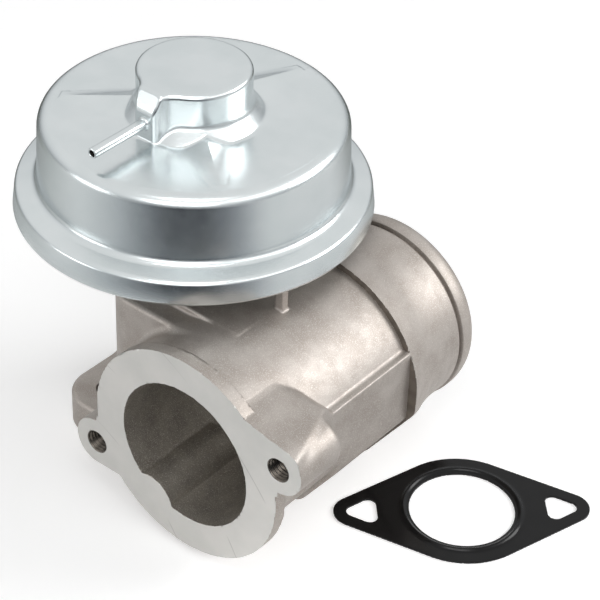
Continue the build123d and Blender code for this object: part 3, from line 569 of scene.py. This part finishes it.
# The turned end stands a hair proud of the casting, and its groove has broken edges
PROUD, GROOVE_BREAK, BEAD_BREAK = 0.02, 0.25, 0.4
bead_flank = TUBE_END - BEAD_R + BEAD_END_R - END_ROUND
spigot_profile = [(REAR_BORE_R, SPIGOT_CUT), (SPIGOT_R - 0.1, SPIGOT_CUT), (SPIGOT_R, SPIGOT_CUT - 2),
                  (SPIGOT_R + PROUD, SPIGOT_CUT - 1.9), (SPIGOT_R + PROUD, GROOVE_START - GROOVE_BREAK),
                  (SPIGOT_R - GROOVE_BREAK, GROOVE_START), (GROOVE_R, GROOVE_START),
                  (GROOVE_R, GROOVE_END), (BEAD_R - BEAD_BREAK, GROOVE_END),
                  (BEAD_R - 0.12, GROOVE_END + 0.12), (BEAD_R, GROOVE_END + BEAD_BREAK)]
for step in range(END_STEPS + 1):
    turn = pi / 2 * step / END_STEPS
    spigot_profile.append((BEAD_END_R + (BEAD_R - BEAD_END_R) * cos(turn),
                           bead_flank + (TUBE_END - bead_flank) * sin(turn)))
spigot_profile += [(REAR_BORE_R + MOUTH_BREAK, TUBE_END), (REAR_BORE_R, TUBE_END - MOUTH_BREAK)]
spigot = lathe("spigot_end", spigot_profile, 160,
               lambda a, b, d: ((TUBE_X + a) * MM, (FACE_Y + d) * MM, (TUBE_Z + b) * MM))
x, y, z = face_centres(spigot).T
# Painted shade inside the spigot's bore, in the darker duct colour
paint(spigot, (casting, duct), np.hypot(x - TUBE_X, z - TUBE_Z) < REAR_BORE_R + NEAR_FACE)
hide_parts("housing")
for piece in (body, spigot):
    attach(piece, "base")


# Thread in the two ears: one liner with a helical V, set in both ears
PITCH, MAJOR_R, MINOR_R, LINER_R, THREAD_DEPTH = 1.25, 4.05, 3.4, 4.3, 17.5
THREAD_FACES, ROWS_PER_TURN, MOUTH_CHAMFER, FLANK_STRETCH, ROOT_FLAT = 48, 8, 0.1, 1.25, 0.1


def thread_liner():
    rows = int(THREAD_DEPTH / PITCH * ROWS_PER_TURN)
    shape = bmesh.new()
    rings = []
    for row in range(rows + 1):
        depth = THREAD_DEPTH * row / rows
        ring = []
        for step in range(THREAD_FACES):
            turn = step / THREAD_FACES
            # A V with a narrow flat at its crest and at its root
            wave = abs(((depth / PITCH - turn) % 1) * 2 - 1)
            r = MINOR_R + (MAJOR_R - MINOR_R) * min(1, max(0, wave * FLANK_STRETCH - ROOT_FLAT))
            r = max(r, MAJOR_R + MOUTH_CHAMFER - depth)
            ring.append(shape.verts.new((r * cos(2 * pi * turn) * MM, depth * MM,
                                         r * sin(2 * pi * turn) * MM)))
        rings.append(ring)
    for depth in (THREAD_DEPTH, 0.0):
        rings.append([shape.verts.new((LINER_R * cos(2 * pi * s / THREAD_FACES) * MM, depth * MM,
                                       LINER_R * sin(2 * pi * s / THREAD_FACES) * MM))
                      for s in range(THREAD_FACES)])
    skin_rings(shape, rings)
    return finished_mesh("thread_liner", shape, 180)


liner = add_object("thread_liner", thread_liner())

pair = bpy.data.node_groups.new("pair_of_tapped_holes", "GeometryNodeTree")
sockets = {}
for label, kind in (("Geometry", "NodeSocketGeometry"), ("First ear", "NodeSocketVector"),
                    ("Second ear", "NodeSocketVector"), ("Finish", "NodeSocketMaterial")):
    sockets[label] = pair.interface.new_socket(label, in_out="INPUT", socket_type=kind).identifier
pair.interface.new_socket("Geometry", in_out="OUTPUT", socket_type="NodeSocketGeometry")
source = add_node(pair, "NodeGroupInput")
both = add_node(pair, "GeometryNodeJoinGeometry")
for label in ("First ear", "Second ear"):
    moved = add_node(pair, "GeometryNodeTransform", {"Geometry": source.outputs["Geometry"],
                                                     "Translation": source.outputs[label]})
    pair.links.new(moved.outputs["Geometry"], both.inputs["Geometry"])
real = add_node(pair, "GeometryNodeRealizeInstances", {"Geometry": both.outputs["Geometry"]})
finished = add_node(pair, "GeometryNodeSetMaterial", {"Geometry": real.outputs["Geometry"],
                                                      "Material": source.outputs["Finish"]})
add_node(pair, "NodeGroupOutput", {"Geometry": finished.outputs["Geometry"]})
modifier = liner.modifiers.new("pair", "NODES")
modifier.node_group = pair
modifier[sockets["First ear"]] = ((TUBE_X + EAR_X) * MM, FACE_Y * MM, (TUBE_Z + EAR_Z) * MM)
modifier[sockets["Second ear"]] = ((TUBE_X - EAR_X) * MM, FACE_Y * MM, (TUBE_Z - EAR_Z) * MM)
# The threads take the dark thread colour, painted shade inside the holes
modifier[sockets["Finish"]] = thread
settled = bpy.context.evaluated_depsgraph_get()
threads_mesh = bpy.data.meshes.new_from_object(liner.evaluated_get(settled), depsgraph=settled)
bpy.data.objects.remove(liner)
threads = add_object("ear_threads", threads_mesh)
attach(threads, "base")


# Pressed lid of the capsule, with its ribs and its dome
def dome_skin(points):
    """Outside of the lid."""
    x, y, z = points.T
    radial = np.hypot(x, y)
    shape = above = z - LID_Z
    for angle in RIB_ANGLES:
        along = x * cos(radians(angle)) + y * sin(radians(angle))
        across = np.abs(y * cos(radians(angle)) - x * sin(radians(angle)))
        share = np.clip((along - RIB_ROOT) / (RIB_TIP - RIB_ROOT), 0, 1)
        half, height = RIB_HALF * (1 - share) + RIB_TIP_HALF, RIB_HEIGHT * (1 - share)
        crest = (above - height * (1 - across / half)) * RIB_STEEPNESS
        rib = np.maximum(np.maximum(crest, RIB_INNER - along), along - RIB_TIP)
        shape = join(shape, np.maximum(rib, across - half - RIB_MARGIN), RIB_FILLET)
    snout = flat_box(x, y + SNOUT_REACH / 2, SNOUT_HALF - SNOUT_EDGE,
                     SNOUT_REACH / 2 - SNOUT_EDGE) - SNOUT_EDGE
    foot = (radial - FOOT_R) * FOOT_HEIGHT + above * (FOOT_R - DOME_R)
    foot = np.maximum(foot / np.hypot(FOOT_HEIGHT, FOOT_R - DOME_R), above - FOOT_HEIGHT - FOOT_OVERLAP)
    dome = trim(join(radial - DOME_R, snout, SNOUT_FILLET), z - DOME_TOP, DOME_EDGE)
    nose = NOSE_RUN * (z - DOME_TOP + NOSE_DROP) - NOSE_DROP * (y + SNOUT_REACH)
    dome = trim(dome, nose / sqrt(NOSE_DROP**2 + NOSE_RUN**2), NOSE_EDGE)
    return join(join(shape, foot, FOOT_FILLET), dome, DOME_FILLET)


def dome_form(points):
    """The lid as sheet, with the hole for the nipple."""
    x, y, z = points.T
    skin = dome_skin(points)
    nipple_hole = np.maximum(np.hypot(x, z - NIPPLE_Z) - NIPPLE_HOLE_R, y + NIPPLE_ROOT)
    shell = np.maximum(np.maximum(skin, -(skin + SHEET)), np.hypot(x, y) - LID_SEAM)
    return np.maximum(shell, -nipple_hole)


dome = form_mesh("pressed_dome", dome_form, (-48.5, -48.5, 116), (48.5, 48.5, 138), DOME_GRID)[0]


# Drum of the capsule, turned from one outline, with the sloping flange and the rolled rim
def arc(centre, radius, start, end, steps):
    """Points of an arc in the plane of a turned profile; angles in degrees from the outward direction."""
    turns = [radians(start + (end - start) * i / steps) for i in range(steps + 1)]
    return [(centre[0] + radius * cos(turn), centre[1] + radius * sin(turn)) for turn in turns]


def drum_line(inset):
    """Outside of the drum from the lid to the rim's lower edge, moved inwards by inset."""
    wall = np.degrees(np.arctan2(CREASE_R - DRUM_R, LID_Z - CREASE_Z))
    slope = np.degrees(np.arctan2(CREASE_Z - RIM_TOP, RIM_R - CREASE_R))
    shoulder, foot, edge = LID_SHOULDER - inset, DRUM_FOOT + inset, RIM_EDGE - inset
    lid, reach = LID_Z - inset, RIM_R - inset
    tilt = radians(wall)
    top_x = DRUM_R - inset / cos(tilt) + inset * tan(tilt)
    centre = (top_x - shoulder * (1 - sin(tilt)) / cos(tilt), lid - shoulder)
    line = [(LID_SEAM, lid)] + arc(centre, shoulder, 90, wall, 14)
    # Foot: tangent to the wall and to the sloping flange
    steep = radians(slope)
    wall_normal = np.array((cos(tilt), sin(tilt)))
    flange_normal = np.array((sin(steep), cos(steep)))
    wall_reach = wall_normal @ np.array((DRUM_R, LID_Z)) - inset
    flange_reach = flange_normal @ np.array((RIM_R, RIM_TOP)) - inset
    middle = np.linalg.solve(np.array((wall_normal, flange_normal)), (wall_reach + foot, flange_reach + foot))
    line += arc(middle, foot, 180 + wall, 270 - slope, 10)
    # Rim: rounded edge between the flange and the wall, which leans in a little towards the top
    drop = (RIM_TOP - RIM_BOTTOM) * tan(radians(RIM_LEAN))
    sides = np.array((flange_normal, (1.0, 0.0)))
    corner = np.linalg.solve(sides, (flange_reach - edge, reach - drop - edge))
    return line + arc(corner, edge, 90 - slope, RIM_LEAN, 8)


outer, inner = drum_line(0.0), drum_line(SHEET)
hem = arc((RIM_R - HEM_R, RIM_BOTTOM + HEM_R), HEM_R, 0, -90, 7)
lip_r = RIM_R - LIP_WIDTH
lip = [(lip_r + 0.4, RIM_BOTTOM), (lip_r, RIM_BOTTOM + 0.4), (lip_r, RIM_BOTTOM + SHEET),
       (RIM_R - SHEET, RIM_BOTTOM + SHEET)]
drum = lathe("pressed_drum", outer + hem + lip + inner[::-1], 256, lambda a, b, d: (a * MM, b * MM, d * MM))
paint(drum, (zinc,))
paint(dome, (zinc,))
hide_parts("upper_cover")
for piece in (drum, dome):
    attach(piece, "base")


# Vacuum nipple: a drawn tube in a collar of solder, with a rounded mouth
SOLDER_R, SOLDER_END = 2.4, SNOUT_REACH + 0.8
tube_profile = ((SOLDER_R, NIPPLE_ROOT), (SOLDER_R, SOLDER_END - 0.7), (2.3, SOLDER_END - 0.35),
                (2.05, SOLDER_END - 0.1), (NIPPLE_R, SOLDER_END), (NIPPLE_R, NIPPLE_END - 0.35),
                (NIPPLE_R - 0.1, NIPPLE_END - 0.1), (NIPPLE_R - 0.3, NIPPLE_END),
                (NIPPLE_BORE + 0.15, NIPPLE_END), (NIPPLE_BORE, NIPPLE_END - 0.2), (NIPPLE_BORE, NIPPLE_ROOT))
nipple = lathe("drawn_nipple", tube_profile, 40, lambda a, b, d: (a * MM, -d * MM, (NIPPLE_Z + b) * MM))
x, y, z = face_centres(nipple).T
# Painted shade inside the nipple's bore
paint(nipple, (zinc, nipple_bore_shade), np.hypot(x, z - NIPPLE_Z) < NIPPLE_BORE + 0.06)
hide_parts("vacuum_nipple")
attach(nipple, "base")


# Loose gasket: embossed sheet with a bead round the hole
def gasket_form(points):
    x, y, z = points.T
    c, s = cos(radians(GASKET_ANGLE)), sin(radians(GASKET_ANGLE))
    a = (x - GASKET_X) * c + (y - GASKET_Y) * s
    b = -(x - GASKET_X) * s + (y - GASKET_Y) * c
    radial, along = np.hypot(a, b), np.abs(a)
    plan = hull(along, b, (0, 0, GASKET_HUB_R), (GASKET_LOBE_X, 0, GASKET_LOBE_R))
    slot = outline(along, b, ((SLOT_TIP, 0), (SLOT_BASE, SLOT_HALF), (SLOT_BASE, -SLOT_HALF))) - SLOT_R
    plan = np.maximum(np.maximum(plan, GASKET_HOLE_R - radial), -slot)
    lift = EMBOSS_HEIGHT * np.exp(-((radial - EMBOSS_R) / EMBOSS_WIDTH) ** 2)
    return trim(plan, between(z, 0.0, GASKET_SHEET + lift), GASKET_EDGE)


gasket = form_mesh("embossed_gasket", gasket_form, (70, -24, -1), (147, 52, 3), GASKET_GRID)[0]
paint(gasket, (coated,))
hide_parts("egr_gasket")
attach(gasket, "base")

# Finishes of the solid model's own pieces
finishes = {
    "lower_cover": zinc, "insulating_gasket": fibre, "capsule_screws": zinc, "valve_seat": hot_steel,
    "poppet": hot_steel, "valve_stem": steel, "guide_bush": bronze, "soot_shield": hot_steel,
    "stem_seal": seal_rubber, "seal_retainer": steel, "shoulder_washer": steel, "backing_plate": zinc,
    "diaphragm_cup": zinc, "clamp_washer": steel, "clamp_nut": zinc, "spring_seat": steel,
}
for node, finish in finishes.items():
    paint(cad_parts[node], (finish,))

# The spring and the rubber sheet, remade from the solid model's meshes with their seams welded
WELD = 0.002
for node, title, finish, slot in (("return_spring", "spring_coil", steel, "steel"),
                                  ("diaphragm", "rubber_sheet", rubber, "black_rubber")):
    shape = bmesh.new()
    shape.from_mesh(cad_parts[node].data)
    bmesh.ops.remove_doubles(shape, verts=shape.verts, dist=WELD * MM)
    piece = add_object(title, finished_mesh(title, shape, SHARP_ANGLE))
    paint(piece, (finish,))
    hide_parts(node)
    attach(piece, "base")
    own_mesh(piece)

# Floor, lamps, world and camera
FLOOR_SIZE, FLOOR_GLOW, FLOOR_SHEEN, ROOM_LIGHT = 6, 0.38, 0.22, 0.36


def empty_tree(owner):
    owner.node_tree.nodes.clear()
    return owner.node_tree


def background_rays(tree):
    """The kinds of rays, and whether a ray sees the background itself."""
    path = add_node(tree, "ShaderNodeLightPath")
    seen = add_node(tree, "ShaderNodeMath", {0: path.outputs["Is Camera Ray"],
                                             1: path.outputs["Is Transmission Ray"]}, operation="MAXIMUM")
    return path, seen.outputs[0]


bpy.ops.mesh.primitive_plane_add(size=FLOOR_SIZE, location=(0, 0, 0))
floor = bpy.context.object
floor.name = "floor"
white = bpy.data.materials.new("white_paper")
white.use_nodes = True
tree = empty_tree(white)
path, seen = background_rays(tree)
glow = add_node(tree, "ShaderNodeMath", {0: path.outputs["Is Glossy Ray"], 1: FLOOR_SHEEN},
                operation="MULTIPLY")
glow = add_node(tree, "ShaderNodeMath", {0: seen, 1: FLOOR_GLOW, 2: glow.outputs[0]},
                operation="MULTIPLY_ADD")
paper = add_node(tree, "ShaderNodeBsdfDiffuse", {"Color": linear("#efefef")})
shine = add_node(tree, "ShaderNodeEmission", {"Color": (1, 1, 1, 1), "Strength": glow.outputs[0]})
sheet = add_node(tree, "ShaderNodeAddShader", {0: paper.outputs[0], 1: shine.outputs[0]})
add_node(tree, "ShaderNodeOutputMaterial", {"Surface": sheet.outputs[0]})
floor.data.materials.append(white)

# Graded card on the floor round the object, glowing dark in front and behind and seen only in reflections: a
# painted reflection for the metal
CARD_FRONT, CARD_BACK, CARD_FAR, CARD_LIFT, CARD_FACES = 0.17, 0.11, 1.6, 0.001, 72
CARD_TURN, BACK_SHARE = 38, -0.4
shape = bmesh.new()
arcs = []
for turn in np.arange(CARD_FACES) * 360 / CARD_FACES:
    near = CARD_BACK if cos(radians(turn)) < BACK_SHARE else CARD_FRONT
    across, ahead = sin(radians(CARD_TURN + turn)), -cos(radians(CARD_TURN + turn))
    arcs.append([shape.verts.new((reach * across, reach * ahead, CARD_LIFT)) for reach in (near, CARD_FAR)])
for one, two in zip(arcs, arcs[1:] + arcs[:1]):
    shape.faces.new((one[0], one[1], two[1], two[0]))
mesh = bpy.data.meshes.new("graded_card")
shape.to_mesh(mesh)
shape.free()
card = add_object("graded_card", mesh)
graded = bpy.data.materials.new("graded_card_glow")
graded.use_nodes = True
tree = empty_tree(graded)
place = add_node(tree, "ShaderNodeTexCoord").outputs["Object"]
turned = add_node(tree, "ShaderNodeMapping", {"Vector": place, "Rotation": (0, 0, radians(90 - CARD_TURN))})
round_about = add_node(tree, "ShaderNodeTexGradient", {"Vector": turned.outputs[0]}, gradient_type="RADIAL")
shade = ramp(tree, round_about.outputs["Fac"], (
    (0.03, "#444846"), (0.1, "#5c605d"), (0.2, "#c8cbc9"), (0.29, "#f2f3f3"), (0.37, "#c4c8ca"),
    (0.415, "#8a8e93"), (0.46, "#353940"), (0.53, "#353940"), (0.585, "#90949a"), (0.64, "#eeefef"),
    (0.8, "#f4f4f4"), (0.9, "#70746f"), (0.97, "#444846")))
reach = add_node(tree, "ShaderNodeVectorMath", {0: place}, operation="LENGTH").outputs["Value"]
# The card is paler next to the object
pale = ramp(tree, reach, ((0.17, "#b0b0b0"), (0.21, "#a0a0a0"), (0.245, "#000000"), (1.0, "#000000")))
shade = add_node(tree, "ShaderNodeMix", {"Factor": pale, "A": shade, "B": linear("#d4d8da")},
                 data_type="RGBA")
shine = add_node(tree, "ShaderNodeEmission", {"Color": shade.outputs["Result"]})
add_node(tree, "ShaderNodeOutputMaterial", {"Surface": shine.outputs[0]})
card.data.materials.append(graded)
card.visible_camera = card.visible_diffuse = card.visible_shadow = card.visible_transmission = False


def lamp(name, place, aim, size, power):
    data = bpy.data.lights.new(name, "AREA")
    data.shape = "RECTANGLE"
    data.size, data.size_y = size
    data.energy = power
    made = add_object(name, data)
    made.location = place
    made.rotation_euler = (Vector(aim) - Vector(place)).to_track_quat("-Z", "Y").to_euler()


# Name, place, aim and size in metres, and power in watts
lamp("softbox_key", (1.7, 1.6, 1.3), (0.05, 0, 0.06), (1.5, 1.1), 34.0)
lamp("softbox_over", (0.36, -0.45, 1.1), (0.03, 0, 0.1), (0.6, 0.12), 1.6)
lamp("softbox_left", (-0.56, -0.96, 0.16), (0.0, 0, 0.10), (0.5, 0.3), 1.3)
lamp("softbox_camera", (0.6, -0.95, 0.62), (0.05, -0.05, 0.04), (1.0, 0.45), 3.6)
lamp("softbox_right", (1.6, 0.05, 1.2), (0.05, 0, 0.1), (1.5, 0.7), 3.6)

world = bpy.data.worlds.new("white_studio")
bpy.context.scene.world = world
world.use_nodes = True
tree = empty_tree(world)
path, seen = background_rays(tree)
room = add_node(tree, "ShaderNodeBackground", {"Color": linear("#ffffff"), "Strength": ROOM_LIGHT})
paper = add_node(tree, "ShaderNodeBackground", {"Color": linear("#ffffff"), "Strength": 1.0})
mixed = add_node(tree, "ShaderNodeMixShader", {0: seen, 1: room.outputs[0], 2: paper.outputs[0]})
# Metal sees a studio that darkens a little towards the horizon
aim = add_node(tree, "ShaderNodeTexCoord").outputs["Generated"]
height = add_node(tree, "ShaderNodeSeparateXYZ", {"Vector": aim}).outputs["Z"]
sky = ramp(tree, height, ((0.0, "#a6a9ab"), (0.14, "#d6d8da"), (0.34, "#f2f3f4"), (0.6, "#ffffff")))
studio = add_node(tree, "ShaderNodeBackground", {"Color": sky, "Strength": 1.0})
mixed = add_node(tree, "ShaderNodeMixShader", {0: path.outputs["Is Glossy Ray"], 1: mixed.outputs[0],
                                               2: studio.outputs[0]})
add_node(tree, "ShaderNodeOutputWorld", {"Surface": mixed.outputs[0]})

# Camera at the photograph's place: angles in degrees, focal length in pixels of a frame 600 wide
AZIMUTH, ELEVATION, ROLL, DISTANCE, FOCAL_PX, FRAME_PX = 38.07, 37.09, 2.29, 698.5, 2123.4, 600
TARGET, SENSOR = Vector((46.3, 0.3, 65.4)), 36
a, e, r = radians(AZIMUTH), radians(ELEVATION), radians(ROLL)
back = Vector((sin(a) * cos(e), -cos(a) * cos(e), sin(e)))
right = Vector((cos(a), sin(a), 0))
up = back.cross(right)
turned_right = right * cos(r) + up * sin(r)
turned_up = -right * sin(r) + up * cos(r)
camera_data = bpy.data.cameras.new("camera")
camera_data.sensor_width = SENSOR
camera_data.lens = FOCAL_PX / FRAME_PX * SENSOR
camera_data.clip_start, camera_data.clip_end = 0.01, 20
camera = add_object("camera", camera_data)
matrix = Matrix((turned_right, turned_up, back)).transposed().to_4x4()
matrix.translation = (TARGET + back * DISTANCE) * MM
camera.matrix_world = matrix
bpy.context.scene.camera = camera
bpy.context.scene.view_settings.view_transform = "Standard"
